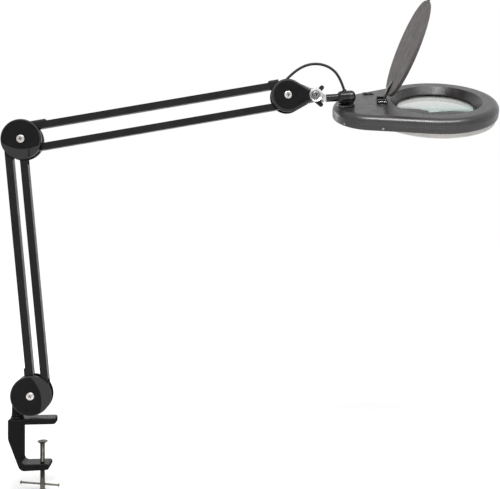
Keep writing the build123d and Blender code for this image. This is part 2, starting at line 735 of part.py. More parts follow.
def make_neck():
    """Tube, barrel and roll axle, and the saddle on which the head turns."""
    across = Rot(0, 90, 0)
    tube = across * post(tube_radius, tube_start, barrel_start + 2.6)
    tube -= across * post(roll_axle_radius + 0.02, tube_start - 1, tube_start + 8)
    tube = chamfer(tube.edges().sort_by(Axis.X)[0], 0.5)
    parts["neck_tube"] = neck_place * tube

    barrel = across * post(barrel_radius, barrel_start, barrel_split)
    barrel = fillet(barrel.edges().group_by(Axis.X)[0], barrel_round)
    barrel -= across * post(tube_radius + seat_clearance, barrel_start - 1, barrel_start + 2.6)
    barrel -= across * post(roll_axle_radius + pivot_clearance, -11, barrel_split + 1)
    collar_end, run_start = (Vector(*point) for point in reversed(cable_route()[-2:]))
    collar = Plane(origin=collar_end, z_dir=run_start - collar_end).location * post(3.4, -5, 0)
    parts["neck_barrel"] = neck_place * barrel + collar

    inner_start = barrel_split + barrel_gap
    cap = across * post(barrel_radius, inner_start, barrel_end)
    cap = fillet(cap.edges().group_by(Axis.X)[-1], barrel_round - 1)
    disc_low = head_top + 0.1
    web_section = Pos((inner_start + barrel_end - 2) / 2, 0) * RectangleRounded(
        barrel_end - inner_start - 3, saddle_web, 3.5)
    web = Pos(0, 0, disc_low) * extrude(web_section, amount=-disc_low)
    saddle = cap + web + post(saddle_radius, disc_low, disc_low + saddle_thickness)
    saddle += post(turn_post_radius, head_top - shell_wall - 2.6, disc_low)
    saddle -= across * post(roll_axle_radius + pivot_clearance, inner_start - 1, barrel_end + 1)
    saddle -= across * post(roll_axle_radius + 2.3, barrel_end - 2.4, barrel_end + 1)
    parts["saddle"] = head_place * saddle

    axle = across * (post(roll_axle_radius, -10.8, barrel_end - 2)
                     + post(roll_axle_radius + 2.0, barrel_end - 2.35, barrel_end - 0.4))
    parts["roll_axle"] = neck_place * axle
    clip_top = head_top - shell_wall - 0.1
    parts["turn_clip"] = head_place * ring(turn_post_radius + 4, turn_post_radius, clip_top - 1.5, clip_top)


# ---------------------------------------------------------------- head
def head_outline(inset):
    """The head's plan: a small and a large circle joined by tangents."""
    circles = Pos(heel_offset, 0) * Circle(narrow_radius - inset) + Pos(head_reach, 0) * Circle(
        head_radius - inset)
    return make_hull(circles.edges())


def make_shells():
    """Upper and lower halves of the head's housing."""
    split = head_top - shell_split
    floor = head_top - shell_height
    lens_axis = Pos(head_reach, 0, 0)
    outer = Pos(0, 0, split) * extrude(head_outline(0), amount=shell_split)
    outer = fillet(outer.faces().sort_by(Axis.Z)[-1].edges(), shell_edge)
    inner = Pos(0, 0, split) * extrude(head_outline(shell_wall), amount=shell_split - shell_wall)
    inner = fillet(inner.faces().sort_by(Axis.Z)[-1].edges(), shell_edge - shell_wall)
    funnel = Polyline(
        (rim_radius, head_top),
        (funnel_radius, head_top - funnel_depth),
        (lens_radius + seat_clearance, head_top - funnel_depth),
        (lens_radius + seat_clearance, head_top - funnel_depth - lens_edge),
        (lens_radius + 2.5, head_top - funnel_depth - lens_edge),
        (lens_radius + 2.5, head_top - funnel_depth + 1.5),
        (rim_radius + 2.4, head_top - 1.5),
        (rim_radius + 2.4, head_top),
        close=True,
    )
    upper = outer - inner
    upper -= lens_axis * post(rim_radius, head_top - shell_wall - 1, head_top + 1)
    upper += lens_axis * revolve(Plane.XZ * make_face(funnel), Axis.Z)
    upper -= post(turn_post_radius + pivot_clearance, head_top - shell_wall - 1, head_top + 1)
    board_top = head_top - funnel_depth - 0.5
    for step in range(4):
        angle = 45 + 90 * step
        upper += lens_axis * Rot(0, 0, angle) * Pos(led_ring_radius, 0, 0) * post(
            3, board_top, head_top - shell_wall + 0.5)
    upper -= switch_place() * Pos(0, 0, -shell_wall) * Box(
        switch_length - 2, switch_width - 2, 3 * shell_wall)
    parts["head_upper_shell"] = head_place * upper

    lower = Pos(0, 0, floor) * extrude(head_outline(0), amount=shell_height - shell_split)
    lower = fillet(lower.faces().sort_by(Axis.Z)[0].edges(), shell_bottom_edge)
    lower -= Pos(0, 0, floor + shell_wall) * extrude(head_outline(shell_wall), amount=shell_height)
    lip = head_outline(shell_wall + seat_clearance) - head_outline(shell_wall + 1.5)
    lower += Pos(0, 0, split - 2) * extrude(lip, amount=3.5)
    lower += Pos(0, 0, split - 2.5) * extrude(
        head_outline(shell_wall - 0.5) - head_outline(shell_wall + 1.5), amount=1.5)
    lower -= lens_axis * post(diffuser_outer + seat_clearance, floor - 1, floor + shell_wall + 0.01)
    parts["head_lower_shell"] = head_place * lower

    screws = []
    for place in case_screw_places():
        hole = place * post(case_screw_radius / 2 + 0.02, -6, 2)
        parts["head_lower_shell"] -= hole
        screws.append(place * (post(case_screw_radius / 2, -5, 0.2) + post(case_screw_radius, 0.05, 1.0)))
    parts["case_screws"] = Compound(screws)


def case_screw_places():
    """Places of the screws in the lower shell's side, looking outwards."""
    height = head_top - shell_height + shell_bottom_edge + case_screw_radius + 0.2
    side_bearing = 90 + degrees(asin((head_radius - narrow_radius) / (head_reach - heel_offset)))
    places = []
    for angle, slide in ((146, 0), (side_bearing, 22)):
        for side in (-1, 1):
            outwards = Vector(cos(radians(angle)), side * sin(radians(angle)), 0)
            along = Vector(sin(radians(angle)), -side * cos(radians(angle)), 0)
            middle = Vector(heel_offset, 0, height) + outwards * narrow_radius + along * slide
            places.append(head_place * Plane(origin=middle, z_dir=outwards).location)
    return places


def make_optics():
    """The lens, its retaining ring, the LED board with its LEDs, and the diffuser."""
    lens_axis = head_place * Pos(head_reach, 0, 0)
    edge_top = head_top - funnel_depth
    edge_low = edge_top - lens_edge
    bulge = (funnel_radius ** 2 + lens_crown ** 2) / (2 * lens_crown)
    upper_cap = Pos(0, 0, edge_top + lens_crown - bulge) * Sphere(bulge)
    lower_cap = Pos(0, 0, edge_low - lens_crown + bulge) * Sphere(bulge)
    lens = post(lens_radius, edge_low + 0.02, edge_top - 0.02)
    lens += post(funnel_radius, edge_low - lens_crown, edge_top + lens_crown) & upper_cap & lower_cap
    parts["lens"] = lens_axis * lens

    retainer_low = edge_low - retainer_thickness
    parts["lens_ring"] = lens_axis * ring(lens_radius + 2.5, lens_radius + 2.5 - retainer_width,
                                          retainer_low, edge_low)

    board_top = head_top - funnel_depth - 0.5
    parts["led_board"] = lens_axis * ring(led_ring_radius + board_width / 2, led_ring_radius - board_width / 2,
                                          board_top - board_thickness, board_top)
    led = Box(led_size, led_size, led_height)
    led_z = board_top - board_thickness - led_height / 2
    leds = [Rot(0, 0, 360 * step / led_count) * Pos(led_ring_radius, 0, led_z) * led
            for step in range(led_count)]
    parts["leds"] = lens_axis * Compound(leds)

    floor = head_top - shell_height
    wall = 1.6
    window = floor - diffuser_height
    diffuser = ring(diffuser_outer, diffuser_inner, window, floor + shell_wall - 0.1)
    diffuser = fillet(diffuser.edges().group_by(Axis.Z)[0], 2.0)
    diffuser -= ring(diffuser_outer - wall, diffuser_inner + wall, window + wall, floor + shell_wall + 1)
    parts["diffuser_ring"] = lens_axis * diffuser


# ---------------------------------------------------------------- switch
def switch_place():
    """The switch's middle on the head's top face, in the head's own frame."""
    return Pos(switch_x, narrow_radius - shell_edge - switch_width / 2 + 2.5, head_top)


def make_switch():
    """A rocker switch in a bezel on the far edge of the head's top."""
    bezel = Pos(0, 0, 0.65) * Box(switch_length + 2, switch_width + 1.6, 1.2)
    bezel += Pos(0, 0, -2) * Box(switch_length - 2.1, switch_width - 2.1, 5)
    bezel = fillet(bezel.edges().group_by(Axis.Z)[-1], 0.4)
    pocket = Box(switch_length - 3.5, switch_width - 3.5, 4)
    bezel -= Pos(0, 0, 0.3) * pocket
    place = head_place * switch_place()
    parts["switch_bezel"] = place * bezel
    half = (switch_length - 4.1) / 2
    profile = make_face(Polyline(
        (-half, 0.4), (-half, 2.6), (0, 1.4), (half, 2.2), (half, 0.4), (0.8, -0.6), (-0.8, -0.6), close=True))
    rocker = extrude(Plane.XZ * profile, amount=(switch_width - 4.1) / 2, both=True)
    parts["switch_rocker"] = place * rocker


# ---------------------------------------------------------------- lid
def lid_frame():
    """Hinge line of the lid: X towards the lens centre, Y along the hinge pin, Z off the head."""
    return Pos(head_reach, 0, head_top + lid_hinge_height) * Rot(0, 0, lid_turn) * Pos(-lid_reach, 0, 0)


def make_lid():
    """A round lid on a curved arm that hinges on a bracket beside the lens."""
    hinge = head_place * lid_frame()
    opened = hinge * Rot(0, -lid_open, 0)
    along = Rot(90, 0, 0)
    ear_outer = hinge_width / 2
    ear_inner = ear_outer - hinge_ear
    foot = -lid_hinge_height
    front = lid_reach - lid_radius - hinge_knuckle_radius / 3
    bracket = Pos(front - hinge_foot / 2, 0, foot + 0.8) * Box(hinge_foot, hinge_width, 1.5)
    for side in (-1, 1):
        ear = Pos(0, side * (ear_outer - hinge_ear / 2), 0)
        tab = Pos(front - hinge_foot / 2, 0, foot / 2) * Box(hinge_foot - 2, hinge_ear, -foot - 0.2)
        knuckle_end = along * post(hinge_knuckle_radius, -hinge_ear / 2, hinge_ear / 2)
        bracket += ear * (tab + knuckle_end)
    bracket -= along * post(hinge_pin_radius + 0.02, -hinge_width, hinge_width)
    beside = Pos(0, hinge_shift, 0)
    parts["lid_hinge_bracket"] = hinge * beside * bracket

    pin = along * post(hinge_pin_radius, -ear_outer, ear_outer)
    parts["lid_hinge_pin"] = hinge * beside * pin

    top = foot + lid_lip + 0.6
    rim_x = lid_reach - lid_radius
    disc_top = top + lid_thickness
    arm_profile = Polyline(
        (0, hinge_knuckle_radius),
        (rim_x + 4, disc_top + 3),
        (rim_x + 12, disc_top + 3.6),
        (rim_x + 24, disc_top + 1),
        (rim_x + 24, disc_top),
        (rim_x - 1.2, disc_top),
        (0, -hinge_knuckle_radius),
        close=True,
    )
    arm_width = 2 * ear_inner - 0.3
    arm = extrude(Plane.XZ * make_face(arm_profile), amount=arm_width / 2, both=True)
    arm += along * post(hinge_knuckle_radius, -arm_width / 2, arm_width / 2)
    arm -= along * post(hinge_pin_radius + pivot_clearance, -hinge_width, hinge_width)
    disc_axis = Pos(lid_reach, 0, 0)
    disc = disc_axis * post(lid_radius, top, top + lid_thickness)
    disc = fillet(disc.edges().group_by(Axis.Z)[-1], 1.2)
    disc += disc_axis * ring(lid_radius, lid_radius - 1.6, top - lid_lip + 0.6, top)
    tab = Pos(lid_radius + lid_tab / 2 - 2, 0, top + lid_thickness / 2) * Box(lid_tab, 2 * lid_tab, lid_thickness - 0.4)
    tab = fillet(tab.edges().filter_by(Axis.Z).sort_by(Axis.X)[-2:], lid_tab / 4)
    disc += disc_axis * tab
    parts["lid_arm"] = opened * beside * arm
    parts["lid_disc"] = opened * disc


make_clamp()
make_shoulder()
make_lower_arm()
make_elbow()
make_upper_arm()
make_head_joint()
make_cable()
make_knuckle()
make_neck()
make_shells()
make_optics()
make_switch()
make_lid()
for name, shape in parts.items():
    export_step(shape, f"parts/{name}.step")
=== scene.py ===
"""Looks of the clamp-on magnifying lamp: camera, studio, materials and the pieces that dress the frame."""
import json
from math import cos, radians, sin, tau

import bmesh
import bpy
from mathutils import Matrix, Vector


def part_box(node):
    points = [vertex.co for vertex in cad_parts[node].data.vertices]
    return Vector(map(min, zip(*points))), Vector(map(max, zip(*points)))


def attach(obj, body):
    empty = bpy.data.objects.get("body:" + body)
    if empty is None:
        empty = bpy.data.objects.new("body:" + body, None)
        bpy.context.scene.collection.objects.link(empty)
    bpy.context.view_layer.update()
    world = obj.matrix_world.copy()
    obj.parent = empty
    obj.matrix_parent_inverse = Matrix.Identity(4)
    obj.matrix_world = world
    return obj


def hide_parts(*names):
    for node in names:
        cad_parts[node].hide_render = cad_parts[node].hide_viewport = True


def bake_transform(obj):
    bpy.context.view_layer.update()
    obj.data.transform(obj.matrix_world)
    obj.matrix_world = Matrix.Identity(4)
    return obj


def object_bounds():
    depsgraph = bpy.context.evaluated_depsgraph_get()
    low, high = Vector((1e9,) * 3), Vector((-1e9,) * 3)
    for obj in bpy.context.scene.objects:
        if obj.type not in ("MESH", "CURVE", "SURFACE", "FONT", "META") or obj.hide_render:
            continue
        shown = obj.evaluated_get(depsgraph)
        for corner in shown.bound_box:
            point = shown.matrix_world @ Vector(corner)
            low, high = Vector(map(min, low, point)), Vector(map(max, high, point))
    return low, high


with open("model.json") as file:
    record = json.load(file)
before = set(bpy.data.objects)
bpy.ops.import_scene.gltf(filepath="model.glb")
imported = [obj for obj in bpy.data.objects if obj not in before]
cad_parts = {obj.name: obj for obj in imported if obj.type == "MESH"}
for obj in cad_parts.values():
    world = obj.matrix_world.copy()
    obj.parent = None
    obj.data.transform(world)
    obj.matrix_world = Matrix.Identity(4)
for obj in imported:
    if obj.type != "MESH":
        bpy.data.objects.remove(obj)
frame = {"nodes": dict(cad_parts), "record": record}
CAD_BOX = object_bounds()
nodes = frame["nodes"]
scene = bpy.context.scene
scene.view_settings.view_transform = "Standard"

CAMERA_PLACE = (0.2135, -1.190, 0.273)
CAMERA_TURN = -5.13           # degrees about Z
CAMERA_LENS = 54.6            # mm, on a 36 mm sensor
LAMP_AIM = (0.3, 0, 0.35)
SKY_LIGHT = 0.32
FLOOR_HALF = 60
FLOOR_DROP = 0.012            # below the object's lowest point
THREAD_CREST = 0.0038
THREAD_CORE = 0.0032
THREAD_PITCH = 0.0016         # as drawn; the joint's own lead is 0.0015
THREAD_START = 0.017          # above the screw's lower end
COLLAR_RADIUS = 0.0052
COLLAR_HEIGHT = 0.003
COLLAR_BEVEL = 0.0004         # the bevel's height
COLLAR_INSET = 0.0005         # the bevel's depth
SHADE_RING_REACH = 0.0622         # from the lens's axis to the shade ring's core
SHADE_RING_RADIUS = 0.0016
SHADE_RING_RISE = 0.0032          # above the lens's middle
BEAD_COUNT = 8
BEAD_RADIUS = 0.00095
BEAD_STEP = 0.0017
BEAD_ROW_SIDE = 0.0201        # from the hinge's point, along the pin
BEAD_ROW_START = -0.0108      # across the pin
BEAD_ROW_DROP = 0.0034        # below the pin
CABLE_DIAMETER = 0.0042


# ---------------------------------------------------------------- camera, floor and light
def make_camera():
    """The photograph's view: level, from a little above the middle of the lamp, turned to the right."""
    data = bpy.data.cameras.new("camera")
    data.sensor_width = 36
    data.lens = CAMERA_LENS
    camera = bpy.data.objects.new("camera", data)
    camera.location = CAMERA_PLACE
    camera.rotation_euler = (radians(90), 0, radians(CAMERA_TURN))
    scene.collection.objects.link(camera)
    scene.camera = camera


def map_range(tree, value, start, stop, low=0.0, high=1.0):
    """Map a value from start and stop on to low and high, and hold it there beyond them."""
    node = tree.nodes.new("ShaderNodeMapRange")
    node.inputs["From Min"].default_value = start
    node.inputs["From Max"].default_value = stop
    node.inputs["To Min"].default_value = low
    node.inputs["To Max"].default_value = high
    tree.links.new(value, node.inputs["Value"])
    return node.outputs[0]


def white_backdrop(tree):
    """1 where the camera, a reflection or a refraction looks, 0 where light is gathered."""
    path = tree.nodes.new("ShaderNodeLightPath")
    either = tree.nodes.new("ShaderNodeMath")
    either.operation = "MAXIMUM"
    seen = tree.nodes.new("ShaderNodeMath")
    seen.operation = "MAXIMUM"
    tree.links.new(path.outputs["Is Glossy Ray"], either.inputs[0])
    tree.links.new(path.outputs["Is Transmission Ray"], either.inputs[1])
    tree.links.new(path.outputs["Is Camera Ray"], seen.inputs[0])
    tree.links.new(either.outputs[0], seen.inputs[1])
    return seen.outputs[0]


def make_world():
    """An even pale sky that lights the object softly and reads as white behind it."""
    world = bpy.data.worlds.new("studio")
    scene.world = world
    world.use_nodes = True
    tree = world.node_tree
    tree.nodes.clear()
    output = tree.nodes.new("ShaderNodeOutputWorld")
    light = tree.nodes.new("ShaderNodeBackground")
    light.inputs["Color"].default_value = (1, 1, 1, 1)
    light.inputs["Strength"].default_value = SKY_LIGHT
    white = tree.nodes.new("ShaderNodeBackground")
    white.inputs["Color"].default_value = (1, 1, 1, 1)
    white.inputs["Strength"].default_value = 1.0
    mix = tree.nodes.new("ShaderNodeMixShader")
    tree.links.new(white_backdrop(tree), mix.inputs[0])
    tree.links.new(light.outputs[0], mix.inputs[1])
    tree.links.new(white.outputs[0], mix.inputs[2])
    tree.links.new(mix.outputs[0], output.inputs[0])


def make_floor():
    """A pale floor below the clamp's screw, reaching far past the view, that glows more with distance."""
    mesh = bpy.data.meshes.new("floor")
    form = bmesh.new()
    bmesh.ops.create_grid(form, x_segments=1, y_segments=1, size=FLOOR_HALF)
    form.to_mesh(mesh)
    form.free()
    floor = bpy.data.objects.new("floor", mesh)
    floor.location = (0, 0, CAD_BOX[0][2] - FLOOR_DROP)
    scene.collection.objects.link(floor)
    material = bpy.data.materials.new("floor_paper")
    material.use_nodes = True
    tree = material.node_tree
    shader = tree.nodes["Principled BSDF"]
    shader.inputs["Base Color"].default_value = (0.93, 0.93, 0.93, 1)
    shader.inputs["Roughness"].default_value = 0.95
    shader.inputs["Specular IOR Level"].default_value = 0.0
    output = tree.nodes["Material Output"]
    glow = tree.nodes.new("ShaderNodeEmission")
    glow.inputs["Color"].default_value = (1, 1, 1, 1)
    where = tree.nodes.new("ShaderNodeTexCoord")
    distance = tree.nodes.new("ShaderNodeVectorMath")
    distance.operation = "LENGTH"
    tree.links.new(where.outputs["Object"], distance.inputs[0])
    sweep = map_range(tree, distance.outputs["Value"], 0.6, 2.4, 0.3, 0.76)
    tree.links.new(sweep, glow.inputs["Strength"])
    paper = tree.nodes.new("ShaderNodeAddShader")
    tree.links.new(shader.outputs[0], paper.inputs[0])
    tree.links.new(glow.outputs[0], paper.inputs[1])
    mix = tree.nodes.new("ShaderNodeMixShader")
    tree.links.new(white_backdrop(tree), mix.inputs[0])
    tree.links.new(shader.outputs[0], mix.inputs[1])
    tree.links.new(paper.outputs[0], mix.inputs[2])
    tree.links.new(mix.outputs[0], output.inputs[0])
    mesh.materials.append(material)


def make_lamp(name, location, size, power):
    """A rectangular soft box that points at the middle of the object."""
    data = bpy.data.lights.new(name, "AREA")
    data.shape = "RECTANGLE"
    data.size, data.size_y = size
    data.energy = power
    lamp = bpy.data.objects.new(name, data)
    lamp.location = location
    aim = Vector(LAMP_AIM) - Vector(location)
    lamp.rotation_euler = aim.to_track_quat("-Z", "Y").to_euler()
    scene.collection.objects.link(lamp)


# ---------------------------------------------------------------- materials
def new_material(name, colour, roughness, metallic=0.0, **sockets):
    """A Principled material with its plain sockets set; detail is added by the calls below."""
    material = bpy.data.materials.new(name)
    material.use_nodes = True
    shader = material.node_tree.nodes["Principled BSDF"]
    shader.inputs["Base Color"].default_value = (*colour, 1)
    shader.inputs["Roughness"].default_value = roughness
    shader.inputs["Metallic"].default_value = metallic
    for socket, value in sockets.items():
        shader.inputs[socket.replace("_", " ")].default_value = value
    return material


def noise(tree, scale, detail, stretch=None):
    """A noise texture over the object's own coordinates, in metres."""
    where = tree.nodes.new("ShaderNodeTexCoord")
    source = where.outputs["Object"]
    if stretch:
        mapping = tree.nodes.new("ShaderNodeMapping")
        mapping.inputs["Scale"].default_value = stretch
        tree.links.new(source, mapping.inputs["Vector"])
        source = mapping.outputs[0]
    texture = tree.nodes.new("ShaderNodeTexNoise")
    tree.links.new(source, texture.inputs["Vector"])
    texture.inputs["Scale"].default_value = scale
    texture.inputs["Detail"].default_value = detail
    return texture.outputs["Fac"]


def ramp(tree, value, stops):
    """A colour ramp through (position, colour) stops."""
    node = tree.nodes.new("ShaderNodeValToRGB")
    elements = node.color_ramp.elements
    while len(elements) < len(stops):
        elements.new(0.5)
    for element, (position, colour) in zip(elements, stops):
        element.position = position
        element.color = (*colour, 1)
    tree.links.new(value, node.inputs[0])
    return node.outputs["Color"]


def spread(tree, value, low, high):
    """Map the usual range of a noise, 0.3 to 0.7, on to low to high."""
    return map_range(tree, value, 0.3, 0.7, low, high)


def add_bumps(material, layers, rounding=0.0):
    """Stack bump layers, each (texture value, height in metres), over edges rounded in the shading."""
    tree = material.node_tree
    normal = None
    if rounding:
        bevel = tree.nodes.new("ShaderNodeBevel")
        bevel.samples = 4
        bevel.inputs["Radius"].default_value = rounding
        normal = bevel.outputs[0]
    for value, height in layers:
        bump = tree.nodes.new("ShaderNodeBump")
        bump.inputs["Strength"].default_value = 1.0
        bump.inputs["Distance"].default_value = height
        tree.links.new(value, bump.inputs["Height"])
        if normal is not None:
            tree.links.new(normal, bump.inputs["Normal"])
        normal = bump.outputs[0]
    tree.links.new(normal, tree.nodes["Principled BSDF"].inputs["Normal"])


def edge_wear_and_highlight(tree):
    """1 on sharp edges, 0 elsewhere, from the angle between the real and the rounded normal."""
    bevel = tree.nodes.new("ShaderNodeBevel")
    bevel.samples = 4
    bevel.inputs["Radius"].default_value = 0.0006
    plain = tree.nodes.new("ShaderNodeNewGeometry")
    dot = tree.nodes.new("ShaderNodeVectorMath")
    dot.operation = "DOT_PRODUCT"
    tree.links.new(bevel.outputs[0], dot.inputs[0])
    tree.links.new(plain.outputs["Normal"], dot.inputs[1])
    return map_range(tree, dot.outputs["Value"], 0.985, 0.86)


def blend_colours(tree, share, under, over):
    """Lay a plain colour over a colour from another node, by a 0 to 1 share."""
    mix = tree.nodes.new("ShaderNodeMix")
    mix.data_type = "RGBA"
    tree.links.new(share, mix.inputs["Factor"])
    tree.links.new(under, mix.inputs["A"])
    mix.inputs["B"].default_value = (*over, 1)
    return mix.outputs["Result"]


def normal_along(tree, axis):
    """How far a face looks along one of the object's own axes, from -1 to 1."""
    where = tree.nodes.new("ShaderNodeTexCoord")
    split = tree.nodes.new("ShaderNodeSeparateXYZ")
    tree.links.new(where.outputs["Normal"], split.inputs[0])
    return split.outputs[axis]


def painted_sheen_faces(tree):
    """Where a paler sheen is painted: 1 on a cover's bevel and crescent face, 0 on its flat face and its
    rim.
    """
    size = tree.nodes.new("ShaderNodeMath")
    size.operation = "ABSOLUTE"
    tree.links.new(normal_along(tree, "Y"), size.inputs[0])
    return ramp(tree, size.outputs[0], [(0.25, (0, 0, 0)), (0.5, (1, 1, 1)), (0.93, (1, 1, 1)),
                                        (0.99, (0, 0, 0))])


def inner_faces(tree):
    """1 on the casting's faces that look along the jaw, 0 elsewhere."""
    return ramp(tree, normal_along(tree, "X"), [(0.72, (0, 0, 0)), (0.9, (1, 1, 1))])


def coated(name, colour, edge, roughness, grain, height, gloss=0.2, mottled=0.2, wear_and_highlight=0.5, speck=None,
           painted_facet_sheen=None, rounding=0.0006, rough_inside=False):
    """Paint or moulded plastic: fine grain, slight mottling of colour and gloss, paler edges that are partly
    wear and partly painted highlight, and where asked a painted paler sheen on sloped faces.
    """
    material = new_material(name, colour, roughness, Specular_IOR_Level=gloss)
    tree = material.node_tree
    shader = tree.nodes["Principled BSDF"]
    cloud = noise(tree, 55, 4)
    dark = tuple(c * (1 - mottled) for c in colour)
    pale = tuple(c * (1 + mottled) for c in colour)
    base = ramp(tree, cloud, [(0.32, dark), (0.68, pale)])
    if speck:
        fleck = noise(tree, 900, 2)
        flecks = ramp(tree, fleck, [(0.60, (0, 0, 0)), (0.74, (1, 1, 1))])
        base = blend_colours(tree, flecks, base, speck)
    # Painted highlight: a paler colour on sloped faces stands in for the lit surroundings that they reflect.
    if painted_facet_sheen:
        base = blend_colours(tree, painted_sheen_faces(tree), base, painted_facet_sheen)
    # Paler edges: partly wear, partly a painted highlight along the edges.
    rim = tree.nodes.new("ShaderNodeMath")
    rim.operation = "MULTIPLY"
    tree.links.new(edge_wear_and_highlight(tree), rim.inputs[0])
    tree.links.new(spread(tree, noise(tree, 160, 3), wear_and_highlight * 0.4, wear_and_highlight), rim.inputs[1])
    tree.links.new(blend_colours(tree, rim.outputs[0], base, edge), shader.inputs["Base Color"])
    sheen = spread(tree, noise(tree, 90, 4), roughness * 0.82, roughness * 1.2)
    if rough_inside:
        roughest = tree.nodes.new("ShaderNodeMath")
        roughest.operation = "MAXIMUM"
        tree.links.new(sheen, roughest.inputs[0])
        tree.links.new(inner_faces(tree), roughest.inputs[1])
        sheen = roughest.outputs[0]
    tree.links.new(sheen, shader.inputs["Roughness"])
    add_bumps(material, [(noise(tree, grain, 2), height), (noise(tree, grain / 6, 3), height * 2)],
              rounding)
    return material


def crevice_shade(tree, reach):
    """Where shade is painted: 0 in a recess or a corner that light hardly reaches, 1 in the open."""
    shade = tree.nodes.new("ShaderNodeAmbientOcclusion")
    shade.samples = 8
    shade.inputs["Distance"].default_value = reach
    return ramp(tree, shade.outputs["AO"], [(0.5, (0, 0, 0)), (0.97, (1, 1, 1))])


def bare_metal(name, colour, roughness, stretch=(1, 1, 1), tarnish=0.35, height=2e-6, reach=0.004):
    """Plated or bare metal with fine scratches, duller patches and painted shade that darkens its crevices
    and recesses.
    """
    material = new_material(name, colour, roughness, metallic=1.0)
    tree = material.node_tree
    shader = tree.nodes["Principled BSDF"]
    dull = tuple(c * (1 - tarnish) for c in colour)
    plate = ramp(tree, noise(tree, 130, 5), [(0.35, dull), (0.62, colour)])
    # Painted shade: the occlusion mask darkens recesses and corners to 4% of the colour.
    painted_crevice_shade = tree.nodes.new("ShaderNodeMix")
    painted_crevice_shade.data_type = "RGBA"
    tree.links.new(crevice_shade(tree, reach), painted_crevice_shade.inputs["Factor"])
    painted_crevice_shade.inputs["A"].default_value = (*(c * 0.04 for c in colour), 1)
    tree.links.new(plate, painted_crevice_shade.inputs["B"])
    tree.links.new(painted_crevice_shade.outputs["Result"], shader.inputs["Base Color"])
    scratch = noise(tree, 900, 4, stretch=stretch)
    tree.links.new(spread(tree, scratch, roughness * 0.7, roughness * 1.5), shader.inputs["Roughness"])
    add_bumps(material, [(scratch, height)], 0.0003)
    return material


def joint_line(name):
    """A joint's point and unit axis, from the record."""
    for joint in frame["record"]["behaviour"]["joints"]:
        if joint["name"] == name:
            return Vector(joint["pos_m"]), Vector(joint["axis"]).normalized()
    raise KeyError(name)


def lens_glass():
    """Clear glass, grey at the far side, with a painted teal at the near side that stands in for light seen
    through the glass's thick edge.
    """
    material = new_material("lens_glass", (0.90, 0.93, 0.91), 0.02)
    tree = material.node_tree
    shader = tree.nodes["Principled BSDF"]
    shader.inputs["Transmission Weight"].default_value = 1.0
    shader.inputs["IOR"].default_value = 1.45
    tree.links.new(spread(tree, noise(tree, 60, 4), 0.004, 0.03), shader.inputs["Roughness"])
    low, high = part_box("lens")
    towards_front = joint_line("head_turn")[1].cross(Vector((1, 0, 0))).normalized()
    if towards_front.y > 0:
        towards_front = -towards_front
    middle = (low + high).dot(towards_front) / 2
    where = tree.nodes.new("ShaderNodeTexCoord")
    reach = tree.nodes.new("ShaderNodeVectorMath")
    reach.operation = "DOT_PRODUCT"
    reach.inputs[1].default_value = towards_front
    tree.links.new(where.outputs["Object"], reach.inputs[0])
    nearer = map_range(tree, reach.outputs["Value"], middle - 0.02, middle + 0.03)
    # Grey is the glass's own tint; the teal towards the near side is painted light through the glass's edge.
    tint_and_painted_edge = ramp(tree, nearer, [(0.0, (0.62, 0.635, 0.62)), (0.45, (0.56, 0.62, 0.60)),
                               (1.0, (0.34, 0.52, 0.48))])
    tree.links.new(tint_and_painted_edge, shader.inputs["Base Color"])
    return material


def diffuser_plastic():
    """Cloudy pale plastic with a fine grain."""
    material = new_material("diffuser", (0.60, 0.58, 0.56), 0.42)
    tree = material.node_tree
    shader = tree.nodes["Principled BSDF"]
    shader.inputs["Subsurface Weight"].default_value = 0.25
    shader.inputs["Subsurface Radius"].default_value = (0.004, 0.004, 0.004)
    shader.inputs["Subsurface Scale"].default_value = 1.0
    cloud = ramp(tree, noise(tree, 70, 3), [(0.3, (0.56, 0.54, 0.515)), (0.7, (0.64, 0.62, 0.60))])
    tree.links.new(cloud, shader.inputs["Base Color"])
    add_bumps(material, [(noise(tree, 1400, 2), 1.2e-5)])
    return material


